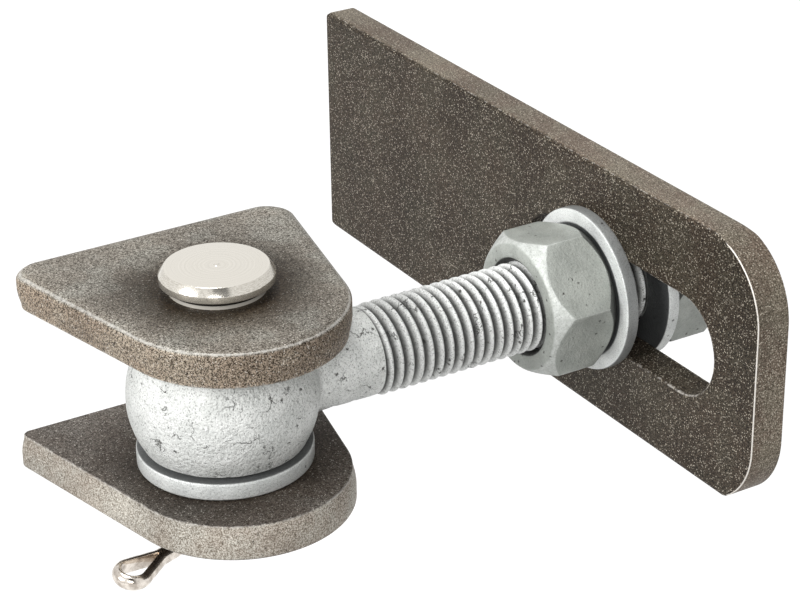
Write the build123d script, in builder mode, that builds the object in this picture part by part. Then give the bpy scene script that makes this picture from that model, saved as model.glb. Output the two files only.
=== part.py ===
"""Adjustable gate hinge: two weld-on ears, a clevis pin and a forged eye bolt with a slotted plate.

Millimetres, +Z up. The origin is where the pin's axis crosses the bolt's axis. The ears point
along +X away from the post, the bolt runs along +Y to the gate, and the plate stands across it.
"""

import os
from math import cos, radians, sin, tan

from build123d import *

os.makedirs("parts", exist_ok=True)

# Fits
running_clearance = 0.08
washer_clearance = 0.5
stack_play = 0.5
overshoot = 1.0

# Clevis pin
pin_d = 16.0
pin_length = 59.0
pin_end_chamfer = 2.0
head_d = 23.8
head_chamfer_width = 1.2
head_chamfer_height = 1.7
head_band = 1.5
groove_width = 0.4
groove_depth = 0.9
collar_d = 20.2
collar_height = 1.65
split_hole_from_end = 5.5

# Split pin
split_wire_d = 3.5
split_hole_d = 4.0
split_direction = -70.5
split_tilt = -11.5
split_junction = 20.6
split_leg_length = 40.0
split_leg_step = 2.5
loop_inner_r = 2.4
loop_flare_angle = 17.5
loop_bend_r = 3.0
leg_gap = 0.16

# Eye bolt
eye_d = 40.0
eye_height = 22.4
eye_rim = 1.3
shank_d = 19.0
thread_d = 20.0
thread_start = 34.0
thread_runout = 1.2
thread_end_chamfer = 1.6
bolt_length = 127.0

# Thrust washers above and below the eye
thrust_washer_d = 37.0
thrust_washer_t = 4.0

# Ears
ear_t = 8.0
weld_distance = 33.0
ear_width = 66.6
upper_ear_corner_r = 6.0
lower_ear_corner_r = 2.4
nose_r = 24.2
nose_offset = 5.7
ear_roll = 1.0

# Nuts and washers on the bolt
nut_across_flats = 30.0
nut_height = 16.5
nut_turn = 10.0
nut_face_share = 0.95
nut_chamfer_angle = 50.0
nut_countersink = 1.1
bolt_washer_d = 37.0
bolt_washer_t = 3.0

# Slotted plate
plate_reach = 92.0
plate_t = 8.0
plate_height = 59.4
plate_plain_end = 117.0
plate_slot_end = 58.4
plate_corner_r = 17.3
end_crop_drop = 2.0
plate_plain_corner_r = 1.5
plate_roll_r = 1.2
slot_width = 22.9
slot_length = 70.0
slot_end_wall = 13.9

# Levels up the pin
eye_top = eye_height / 2
eye_bottom = -eye_height / 2
lower_ear_top = eye_bottom - thrust_washer_t
lower_ear_bottom = lower_ear_top - ear_t
upper_ear_bottom = eye_top + thrust_washer_t + stack_play
upper_ear_top = upper_ear_bottom + ear_t
pin_end = upper_ear_top - pin_length
split_level = pin_end + split_hole_from_end

# Stations along the bolt
plate_back = plate_reach + plate_t
front_washer_y = plate_reach - bolt_washer_t
front_nut_y = front_washer_y - nut_height
rear_nut_y = plate_back + bolt_washer_t

pin_hole_d = pin_d + 2 * running_clearance
nut_bore_d = thread_d + 2 * running_clearance


def across_bolt(y):
    """A plane square to the bolt at station y, with +X to the right and +Z down."""
    return Plane(origin=(0, y, 0), x_dir=(1, 0, 0), z_dir=(0, 1, 0))


def make_ear(bottom, rolled_side, corner_r):
    """One ear: a nose round the pin, straight tapered sides and rounded corners at the weld edge."""
    with BuildPart() as ear:
        with BuildSketch(Plane.XY.offset(bottom)) as blank:
            with BuildLine():
                CenterArc((nose_offset, 0), nose_r, 0, 360)
                Line((-weld_distance, -ear_width / 2), (-weld_distance, ear_width / 2))
            make_hull()
            fillet(blank.vertices().group_by(Axis.X)[0], corner_r)
            Circle(pin_hole_d / 2, mode=Mode.SUBTRACT)
        extrude(amount=ear_t)
        rolled_face = ear.faces().sort_by(Axis.Z)[rolled_side]
        chamfer(rolled_face.outer_wire().edges(), ear_roll)
    return ear.part


def make_thrust_washer(bottom):
    """A thick flat washer round the pin."""
    with BuildPart() as washer:
        with BuildSketch(Plane.XY.offset(bottom)):
            Circle(thrust_washer_d / 2)
            Circle(pin_d / 2 + washer_clearance, mode=Mode.SUBTRACT)
        extrude(amount=thrust_washer_t)
    return washer.part


def make_bolt_washer(y):
    """A flat washer on the bolt, from station y on."""
    with BuildPart() as washer:
        with BuildSketch(across_bolt(y)):
            Circle(bolt_washer_d / 2)
            Circle(thread_d / 2 + washer_clearance, mode=Mode.SUBTRACT)
        extrude(amount=bolt_washer_t)
    return washer.part


def make_nut(y, open_end):
    """A hexagon nut on the bolt, from station y on, chamfered at both ends and countersunk at one."""
    face_r = nut_across_flats / 2 * nut_face_share
    corner_r = nut_across_flats / 2 / cos(radians(30)) + overshoot
    drop = (corner_r - face_r) * tan(radians(nut_chamfer_angle))
    with BuildPart() as nut:
        with BuildSketch(across_bolt(y)):
            RegularPolygon(nut_across_flats / 2, 6, major_radius=False, rotation=30 - nut_turn)
        extrude(amount=nut_height)
        with BuildSketch(Plane.XY):
            with BuildLine():
                Polyline(
                    (0, y),
                    (face_r, y),
                    (corner_r, y + drop),
                    (corner_r, y + nut_height - drop),
                    (face_r, y + nut_height),
                    (0, y + nut_height),
                    close=True,
                )
            make_face()
        revolve(axis=Axis.Y, mode=Mode.INTERSECT)
        with BuildSketch(across_bolt(y)):
            Circle(nut_bore_d / 2)
        bore = extrude(amount=nut_height, mode=Mode.SUBTRACT)
        mouths = nut.edges().filter_by(lambda e: e.geom_type == GeomType.CIRCLE)
        mouths = mouths.filter_by(lambda e: abs(e.radius - nut_bore_d / 2) < running_clearance / 2)
        chamfer(mouths.sort_by(Axis.Y)[open_end], nut_countersink)
    return nut.part


# Ears, each with its outer face's edge rolled over
upper_ear = make_ear(upper_ear_bottom, -1, upper_ear_corner_r)
lower_ear = make_ear(lower_ear_bottom, 0, lower_ear_corner_r)

# Clevis pin: head with a chamfered top, a fine groove and a narrower collar, then the plain shank
collar_top = upper_ear_top + collar_height
band_bottom = collar_top + groove_width
band_top = band_bottom + head_band
head_top = band_top + head_chamfer_height

with BuildPart() as clevis_pin:
    with BuildSketch(Plane.XZ):
        with BuildLine():
            Polyline(
                (0, pin_end),
                (pin_d / 2 - pin_end_chamfer / 2, pin_end),
                (pin_d / 2, pin_end + pin_end_chamfer),
                (pin_d / 2, upper_ear_top),
                (collar_d / 2, upper_ear_top),
                (collar_d / 2, collar_top),
                (head_d / 2 - groove_depth, collar_top),
                (head_d / 2 - groove_depth, band_bottom),
                (head_d / 2, band_bottom),
                (head_d / 2, band_top),
                (head_d / 2 - head_chamfer_width, head_top),
                (0, head_top),
                close=True,
            )
        make_face()
    revolve(axis=Axis.Z)
    split_axis = (cos(radians(split_direction)), sin(radians(split_direction)), 0)
    split_plane = Plane(origin=(0, 0, split_level), x_dir=(0, 0, 1), z_dir=split_axis)
    with BuildSketch(split_plane):
        Circle(split_hole_d / 2)
    extrude(amount=pin_d, both=True, mode=Mode.SUBTRACT)

# Split pin: half-round wire bent into a loop, its flat faces together along the legs.
# It is drawn along +X with its loop flat, then turned to its place across the clevis pin.
leg_end = split_junction - split_leg_length
bend_rise = leg_gap / 2 + loop_bend_r * (1 - cos(radians(loop_flare_angle)))
flare_rise = loop_inner_r * cos(radians(loop_flare_angle)) - bend_rise
flare_length = flare_rise / sin(radians(loop_flare_angle))

with BuildPart() as split_pin:
    with BuildLine() as wire_path:
        first_leg = Line((leg_end, leg_gap / 2), (split_junction, leg_gap / 2))
        first_bend = JernArc(first_leg @ 1, first_leg % 1, loop_bend_r, loop_flare_angle)
        first_flare = PolarLine(first_bend @ 1, flare_length, direction=first_bend % 1)
        bow = JernArc(first_flare @ 1, first_flare % 1, loop_inner_r, -180 - 2 * loop_flare_angle)
        second_flare = PolarLine(bow @ 1, flare_length, direction=bow % 1)
        second_bend = JernArc(second_flare @ 1, second_flare % 1, loop_bend_r, loop_flare_angle)
        Line(second_bend @ 1, (leg_end + split_leg_step, -leg_gap / 2))
    with BuildSketch(Plane.YZ.offset(leg_end)):
        with Locations((leg_gap / 2, 0)):
            Circle(split_wire_d / 2)
            with Locations((-split_wire_d / 2, 0)):
                Rectangle(split_wire_d, 2 * split_wire_d, mode=Mode.SUBTRACT)
    sweep(path=wire_path.wires()[0])
split_place = Plane(origin=(0, 0, split_level), x_dir=split_axis, z_dir=(0, 0, 1)).location
split_pin.part = split_pin.part.moved(split_place * Rotation(split_tilt, 0, 0))

# Eye bolt: a ball flattened above and below, bored for the pin, with a plain neck and a thread
with BuildPart() as eye_bolt:
    Sphere(eye_d / 2)
    with BuildSketch(Plane.XY):
        with BuildLine():
            Polyline(
                (0, 0),
                (shank_d / 2, 0),
                (shank_d / 2, thread_start - thread_runout),
                (thread_d / 2, thread_start),
                (thread_d / 2, bolt_length - thread_end_chamfer),
                (thread_d / 2 - thread_end_chamfer, bolt_length),
                (0, bolt_length),
                close=True,
            )
        make_face()
    revolve(axis=Axis.Y)
    Box(3 * bolt_length, 3 * bolt_length, eye_height, mode=Mode.INTERSECT)
    chamfer(eye_bolt.faces().filter_by(Axis.Z).edges(), eye_rim)
    with Locations((0, 0, eye_top)):
        Hole(pin_hole_d / 2, depth=eye_height)

upper_thrust_washer = make_thrust_washer(eye_top)
lower_thrust_washer = make_thrust_washer(lower_ear_top)

front_nut = make_nut(front_nut_y, 0)
front_washer = make_bolt_washer(front_washer_y)
rear_washer = make_bolt_washer(plate_back)
rear_nut = make_nut(rear_nut_y, -1)

# Slotted plate: flat bar with rolled long edges, cropped to length. The crop that rounds one end
# sits a little low, so its lower round meets the bar's edge in a corner.
plate_centre_x = (plate_slot_end - plate_plain_end) / 2
plate_length = plate_slot_end + plate_plain_end
slot_centre_x = plate_slot_end - slot_end_wall - slot_length / 2

with BuildPart() as slotted_plate:
    with BuildSketch(Plane.YZ.offset(-plate_plain_end)):
        with Locations((plate_reach + plate_t / 2, 0)):
            RectangleRounded(plate_t, plate_height, plate_roll_r)
    extrude(amount=plate_length)
    with BuildSketch(across_bolt(plate_reach)):
        with Locations((plate_centre_x - plate_corner_r, end_crop_drop / 2)):
            RectangleRounded(plate_length + 2 * plate_corner_r, plate_height + end_crop_drop, plate_corner_r)
        with Locations((slot_centre_x, 0)):
            SlotOverall(slot_length, slot_width, mode=Mode.SUBTRACT)
    extrude(amount=plate_t, mode=Mode.INTERSECT)
    plain_corners = slotted_plate.edges().filter_by(Axis.Y).group_by(Axis.X)[0]
    fillet(plain_corners, plate_plain_corner_r)

pieces = {
    "upper_ear": upper_ear,
    "lower_ear": lower_ear,
    "clevis_pin": clevis_pin.part,
    "split_pin": split_pin.part,
    "upper_thrust_washer": upper_thrust_washer,
    "lower_thrust_washer": lower_thrust_washer,
    "eye_bolt": eye_bolt.part,
    "front_nut": front_nut,
    "front_washer": front_washer,
    "slotted_plate": slotted_plate.part,
    "rear_washer": rear_washer,
    "rear_nut": rear_nut,
}
for name, piece in pieces.items():
    piece.label = name
    export_step(piece, f"parts/{name}.step")
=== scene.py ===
"""Adjustable gate hinge: the looks of its pieces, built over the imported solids.

Every piece is shaped in millimetres, in the row frame: the origin is where the pin's axis crosses
the bolt's axis, +Z runs up the pin, +Y along the bolt, and +X from the weld edges to the noses.
"""

from __future__ import annotations

import logging
import math
from dataclasses import dataclass
from enum import Enum
from typing import Any, Callable, Sequence

import bmesh
import bpy
from mathutils import Matrix, Vector, noise

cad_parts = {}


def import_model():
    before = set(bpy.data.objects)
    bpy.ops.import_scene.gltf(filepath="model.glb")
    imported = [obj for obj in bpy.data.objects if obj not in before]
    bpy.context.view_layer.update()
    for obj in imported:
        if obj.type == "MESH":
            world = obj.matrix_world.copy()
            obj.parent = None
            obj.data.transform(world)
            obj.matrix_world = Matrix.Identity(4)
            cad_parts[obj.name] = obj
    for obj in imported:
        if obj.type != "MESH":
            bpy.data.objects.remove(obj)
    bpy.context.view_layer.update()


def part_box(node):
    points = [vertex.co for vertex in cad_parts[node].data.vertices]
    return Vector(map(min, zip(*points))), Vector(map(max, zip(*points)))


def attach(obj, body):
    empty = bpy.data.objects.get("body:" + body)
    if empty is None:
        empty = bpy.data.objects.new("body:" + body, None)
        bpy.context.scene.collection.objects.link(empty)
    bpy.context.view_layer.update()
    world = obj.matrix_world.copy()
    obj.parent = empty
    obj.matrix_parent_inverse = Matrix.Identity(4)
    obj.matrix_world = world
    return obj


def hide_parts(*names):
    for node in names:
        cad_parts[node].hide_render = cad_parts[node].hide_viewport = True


LOG = logging.getLogger("gate_hinge")
METRES = 0.001
X_AXIS = Vector((1, 0, 0))
Y_AXIS = Vector((0, 1, 0))
Z_AXIS = Vector((0, 0, 1))
WHITE = (1.0, 1.0, 1.0)
Socket = bpy.types.NodeSocket


class Slot(Enum):
    """The record's material slots."""

    EARS = "ear_steel"
    PLATE = "plate_steel"
    PIN = "turned_steel"
    WIRE = "wire_steel"
    FORGING = "galvanised_forging"
    NUT = "galvanised_nut"
    WASHER = "galvanised_washer"


class Side(Enum):
    """Which of two like pieces is meant, by its place."""

    UPPER = "upper"
    LOWER = "lower"
    FRONT = "front"
    REAR = "rear"


# Node trees


class Graph:
    """A shader node tree while it is wired up."""

    def __init__(self, tree: bpy.types.NodeTree) -> None:
        """Starts on an empty tree.

        Args:
            tree: The material's or the group's node tree.
        """
        self.tree = tree

    @classmethod
    def cleared(cls, owner: bpy.types.Material | bpy.types.World) -> Graph:
        """Empties a material's or a world's node tree and starts on it."""
        owner.use_nodes = True
        owner.node_tree.nodes.clear()
        return cls(owner.node_tree)

    def surface(self, shader: Socket, output: str = "ShaderNodeOutputMaterial") -> None:
        """Feeds a shader into the tree's output.

        Args:
            shader: The shader.
            output: The output node's type name.
        """
        self.node(output, {"Surface": shader})

    def node(self, kind: str, inputs: dict | None = None, **settings: Any) -> bpy.types.Node:
        """Adds a node.

        Args:
            kind: The node's type name.
            inputs: Socket name or number to a constant or another node's output.
            **settings: The node's own properties.

        Returns:
            The node.
        """
        made = self.tree.nodes.new(kind)
        for name, value in settings.items():
            setattr(made, name, value)
        for key, value in (inputs or {}).items():
            self.feed(made.inputs[key], value)
        return made

    def feed(self, socket: Socket, value: Any) -> None:
        """Links value into the socket, or sets the socket to it.

        Args:
            socket: The input to fill.
            value: A node's output, a number or a colour.
        """
        if isinstance(value, bpy.types.NodeSocket):
            self.tree.links.new(value, socket)
        elif hasattr(value, "__len__") and len(value) == 3 and socket.type == "RGBA":
            socket.default_value = (*value, 1.0)
        else:
            socket.default_value = value

    def attribute(self, name: str) -> Socket:
        """Gives one of the piece's own attributes."""
        return self.node("ShaderNodeAttribute", attribute_name=name).outputs["Fac"]

    def vector(self, operation: str, a: Any, b: Any = (0, 0, 0)) -> Socket:
        """Adds a Vector Math node.

        Args:
            operation: The node's operation.
            a: The first operand.
            b: The second operand.

        Returns:
            The vector, or the number where the operation is LENGTH.
        """
        made = self.node("ShaderNodeVectorMath", {0: a, 1: b}, operation=operation)
        return made.outputs["Value" if operation == "LENGTH" else 0]

    def off_pin(self, place: Socket) -> Socket:
        """Gives how far a place lies from the pin's axis."""
        return self.vector("LENGTH", self.vector("MULTIPLY", place, (1, 1, 0)))

    def maths(self, operation: str, a: Any, b: Any = 0.0, clamp: bool = False) -> Socket:
        """Adds a Math node.

        Args:
            operation: The node's operation.
            a: The first operand.
            b: The second operand.
            clamp: Whether the result is kept from 0 to 1.

        Returns:
            The result.
        """
        made = self.node("ShaderNodeMath", {0: a, 1: b}, operation=operation, use_clamp=clamp)
        return made.outputs[0]

    def times(self, a: Any, b: Any, clamp: bool = False) -> Socket:
        """Multiplies two values."""
        return self.maths("MULTIPLY", a, b, clamp)

    def plus(self, a: Any, b: Any, clamp: bool = False) -> Socket:
        """Adds two values."""
        return self.maths("ADD", a, b, clamp)

    def minus(self, a: Any, b: Any, clamp: bool = False) -> Socket:
        """Takes b from a."""
        return self.maths("SUBTRACT", a, b, clamp)

    def ramp(self, value: Any, low: float, high: float, start: float = 0.0, end: float = 1.0) -> Socket:
        """Maps value smoothly from low and high to start and end.

        Args:
            value: What is mapped.
            low: The value that gives start.
            high: The value that gives end.
            start: The result at and below low.
            end: The result at and above high.

        Returns:
            The result.
        """
        made = self.node(
            "ShaderNodeMapRange",
            {"Value": value, "From Min": low, "From Max": high, "To Min": start, "To Max": end},
            interpolation_type="SMOOTHSTEP",
        )
        return made.outputs["Result"]

    def mix(self, share: Any, a: Any, b: Any) -> Socket:
        """Mixes two colours.

        Args:
            share: How much of b shows.
            a: The first colour.
            b: The second colour.

        Returns:
            The mixed colour.
        """
        made = self.node("ShaderNodeMix", data_type="RGBA")
        self.feed(made.inputs[0], share)
        self.feed(made.inputs[6], a)
        self.feed(made.inputs[7], b)
        return made.outputs[2]

    def tinted(self, colour: Socket, tint: Any) -> Socket:
        """Multiplies a colour.

        Args:
            colour: The colour.
            tint: What it is multiplied with.

        Returns:
            The product.
        """
        made = self.node("ShaderNodeMix", {0: 1.0}, data_type="RGBA", blend_type="MULTIPLY")
        self.feed(made.inputs[6], colour)
        self.feed(made.inputs[7], tint)
        return made.outputs[2]

    def noise(self, vector: Socket, waves: Any, detail: float = 3.0, roughness: float = 0.5) -> Socket:
        """Adds smooth noise.

        Args:
            vector: The place, in millimetres.
            waves: How many of the noise's waves fit in one millimetre.
            detail: How many finer layers it has.
            roughness: How strong the finer layers are.

        Returns:
            The noise, about 0.5 on average.
        """
        made = self.node(
            "ShaderNodeTexNoise",
            {"Vector": vector, "Scale": waves, "Detail": detail, "Roughness": roughness},
        )
        return made.outputs["Fac"]

    def stretched(self, vector: Socket, scale: Sequence[float], turn: Sequence[float] = (0, 0, 0)) -> Socket:
        """Stretches and turns a place before a pattern reads it.

        Args:
            vector: The place, in millimetres.
            scale: The factor along each axis.
            turn: The rotation about each axis, in degrees.

        Returns:
            The changed place.
        """
        angles = [math.radians(a) for a in turn]
        made = self.node("ShaderNodeMapping", {"Vector": vector, "Scale": scale, "Rotation": angles})
        return made.outputs[0]

    def place(self) -> Socket:
        """Gives the point on the piece, in millimetres in the row frame."""
        coordinates = self.node("ShaderNodeTexCoord")
        scaled = self.node("ShaderNodeVectorMath", operation="SCALE")
        self.feed(scaled.inputs[0], coordinates.outputs["Object"])
        scaled.inputs["Scale"].default_value = 1 / METRES
        return scaled.outputs[0]


class Effect:
    """A shader node group that several finishes share, built the first time it is used."""

    name = ""
    inputs: dict[str, float] = {}
    outputs: tuple[str, ...] = ()

    def tree(self) -> bpy.types.NodeTree:
        """Finds the group, or makes it.

        Returns:
            The group's node tree.
        """
        found = bpy.data.node_groups.get(self.name)
        if found:
            return found
        made = bpy.data.node_groups.new(self.name, "ShaderNodeTree")
        made.interface.new_socket("Place", in_out="INPUT", socket_type="NodeSocketVector")
        for name, value in self.inputs.items():
            socket = made.interface.new_socket(name, in_out="INPUT", socket_type="NodeSocketFloat")
            socket.default_value = value
        for name in self.outputs:
            made.interface.new_socket(name, in_out="OUTPUT", socket_type="NodeSocketFloat")
        graph = Graph(made)
        start = graph.node("NodeGroupInput")
        end = graph.node("NodeGroupOutput")
        for name, value in self.wire(graph, start.outputs).items():
            graph.feed(end.inputs[name], value)
        return made

    def wire(self, graph: Graph, given: Any) -> dict[str, Socket]:
        """Builds the group's inside.

        Args:
            graph: The group's tree.
            given: The group's inputs.

        Returns:
            Output name to what it puts out.
        """
        raise NotImplementedError

    def use(self, graph: Graph, place: Socket, **values: Any) -> Any:
        """Puts the group in a material.

        Args:
            graph: The material's tree.
            place: The point on the piece, in millimetres.
            **values: Input names, with underscores for spaces, to their values.

        Returns:
            The group node's outputs.
        """
        made = graph.node("ShaderNodeGroup", node_tree=self.tree())
        graph.feed(made.inputs["Place"], place)
        for name, value in values.items():
            graph.feed(made.inputs[name.replace("_", " ").title()], value)
        return made.outputs


class BlastedGrain(Effect):
    """The speckle of blasted plate: clouds, fine grain, dark pits, and grains that catch the light."""

    name = "blasted grain"
    inputs = {"Grain": 1.0, "Dark Share": 0.5, "Bright Share": 0.5}
    outputs = ("Cloud", "Tint", "Speckle", "Dark", "Bright", "Height")

    def wire(self, graph: Graph, given: Any) -> dict[str, Socket]:
        """Builds the group's inside; see Effect."""
        place, grain = given["Place"], given["Grain"]
        cloud = graph.noise(place, 0.045, 4.0, 0.62)
        tint = graph.noise(place, 0.09, 3.0, 0.6)
        fine = graph.noise(place, graph.times(grain, 3.2), 2.0, 0.8)
        coarse = graph.noise(place, graph.times(grain, 1.7), 3.0, 0.75)
        mottle = graph.plus(graph.times(fine, 0.75), graph.times(coarse, 0.25))
        speckle = graph.ramp(mottle, 0.42, 0.59)
        dark_edge = graph.ramp(given["Dark Share"], 0.0, 1.0, 0.3, 0.55)
        dark = graph.times(graph.minus(dark_edge, coarse), 12.0, clamp=True)
        cells = graph.node("ShaderNodeTexVoronoi", {"Vector": place, "Scale": graph.times(grain, 2.9)})
        lone = graph.node("ShaderNodeSeparateColor", {"Color": cells.outputs["Color"]}).outputs[0]
        bright_edge = graph.minus(1.0, given["Bright Share"])
        bright = graph.times(graph.minus(lone, bright_edge), 6.0, clamp=True)
        core = graph.ramp(cells.outputs["Distance"], 0.2, 0.55, 1.0, 0.0)
        bright = graph.times(bright, core)
        height = graph.plus(graph.times(coarse, 0.5), graph.times(fine, 0.5))
        return {
            "Cloud": cloud, "Tint": tint, "Speckle": speckle, "Dark": dark, "Bright": bright,
            "Height": height,
        }


class ZincSkin(Effect):
    """Hot-dip zinc: clouded bloom, fine grit, pits, thin cracks, and the lumps of the bath.

    Attributes:
        bend: How far the cracks wander, in millimetres.
    """

    name = "zinc skin"
    inputs = {"Grain": 1.0, "Pit Share": 0.5, "Crack Share": 0.5, "Run": 0.5}
    outputs = ("Cloud", "Grit", "Pits", "Cracks", "Height")
    bend = 7.0

    def wire(self, graph: Graph, given: Any) -> dict[str, Socket]:
        """Builds the group's inside; see Effect."""
        place, grain = given["Place"], given["Grain"]
        cloud = graph.noise(place, 0.13, 4.0, 0.6)
        grit = graph.noise(place, graph.times(grain, 2.8), 2.0, 0.75)
        peel = graph.noise(place, graph.times(grain, 1.3), 2.0, 0.6)
        lumps = graph.noise(place, 0.3, 2.0, 0.5)
        spots = graph.node("ShaderNodeTexVoronoi", {"Vector": place, "Scale": graph.times(grain, 0.55)})
        lone = graph.node("ShaderNodeSeparateColor", {"Color": spots.outputs["Color"]}).outputs[1]
        chosen = graph.ramp(graph.plus(lone, given["Pit Share"]), 1.0, 1.05)
        ragged = graph.plus(spots.outputs["Distance"], graph.times(grit, 0.5))
        pits = graph.times(graph.ramp(ragged, 0.38, 0.5, 1.0, 0.0), chosen)
        bend = graph.node("ShaderNodeTexNoise", {"Vector": place, "Scale": 0.5, "Detail": 4.0})
        bend = graph.vector("MULTIPLY", bend.outputs["Color"], (self.bend, self.bend, self.bend))
        bent = graph.vector("ADD", place, bend)
        seams = graph.node("ShaderNodeTexVoronoi", {"Vector": bent, "Scale": 0.1}, feature="DISTANCE_TO_EDGE")
        thin = graph.ramp(seams.outputs["Distance"], 0.004, 0.018, 1.0, 0.0)
        patch = graph.plus(graph.noise(place, 0.22, 2.0, 0.6), given["Crack Share"])
        cracks = graph.times(thin, graph.ramp(patch, 1.0, 1.08))
        height = graph.times(lumps, given["Run"])
        for part, share in ((peel, 0.8), (grit, 0.3), (pits, -0.6), (cracks, -0.5)):
            height = graph.plus(height, graph.times(part, share))
        return {"Cloud": cloud, "Grit": grit, "Pits": pits, "Cracks": cracks, "Height": height}


class RubAndSheenEdge(Effect):
    """A broken line along the edges that were worn or sheared bright, and along painted highlights."""

    name = "rub and sheen edge"
    inputs = {"Wear": 0.0, "Breakup": 0.5}
    outputs = ("Mask",)

    def wire(self, graph: Graph, given: Any) -> dict[str, Socket]:
        """Builds the group's inside; see Effect."""
        broken = graph.noise(given["Place"], 0.9, 3.0, 0.6)
        loss = graph.times(given["Breakup"], graph.ramp(broken, 0.35, 0.65))
        mask = graph.ramp(graph.minus(given["Wear"], loss), 0.15, 0.75)
        return {"Mask": mask}


class TurningMarks(Effect):
    """The rings that a lathe tool leaves round the Z axis."""

    name = "turning marks"
    inputs = {"Rings": 2.0, "Waver": 0.1}
    outputs = ("Shade",)

    def wire(self, graph: Graph, given: Any) -> dict[str, Socket]:
        """Builds the group's inside; see Effect."""
        level = graph.node("ShaderNodeSeparateXYZ", {0: given["Place"]}).outputs["Z"]
        along = graph.plus(graph.off_pin(given["Place"]), level)
        waver = graph.times(graph.noise(given["Place"], 0.2, 1.0), given["Waver"])
        run = graph.times(graph.plus(along, waver), given["Rings"])
        place = graph.node("ShaderNodeCombineXYZ", {0: run}).outputs[0]
        return {"Shade": graph.noise(place, 1.0, 4.0, 0.7)}


# Finishes


@dataclass(frozen=True)
class Finish:
    """What all finishes share.

    Attributes:
        name: The material's name.
    """

    name: str

    def material(self) -> bpy.types.Material:
        """Finds the material, or makes it.

        Returns:
            The material.
        """
        found = bpy.data.materials.get(self.name)
        if found:
            return found
        made = bpy.data.materials.new(self.name)
        graph = Graph.cleared(made)
        shader = graph.node("ShaderNodeBsdfPrincipled")
        graph.surface(shader.outputs[0])
        self.wire(graph, shader)
        return made

    def wire(self, graph: Graph, shader: bpy.types.Node) -> None:
        """Wires the finish into its shader.

        Args:
            graph: The material's tree.
            shader: Its Principled BSDF.
        """
        raise NotImplementedError

    @staticmethod
    def bump(graph: Graph, shader: bpy.types.Node, height: Socket, depth: float) -> None:
        """Feeds a height into the shader's normal.

        Args:
            graph: The material's tree.
            shader: Its Principled BSDF.
            height: The height, where 1 is the full depth.
            depth: The full depth, in millimetres.
        """
        made = graph.node("ShaderNodeBump", {"Height": height, "Distance": depth * METRES})
        graph.feed(shader.inputs["Normal"], made.outputs[0])

    @staticmethod
    def wear(graph: Graph) -> Socket:
        """Gives how near the surface is to a worn edge, with its painted highlights, from 0 to 1."""
        return graph.attribute("wear")

    @staticmethod
    def painted_shade(graph: Graph) -> Socket:
        """Gives how much painted shade the surface carries, from 0 to 1."""
        return graph.attribute("painted_shade")

    @staticmethod
    def wall(graph: Graph) -> Socket:
        """Gives how much the surface is a wall cut or turned across the piece, from 0 to 1."""
        return graph.attribute("wall")


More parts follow.
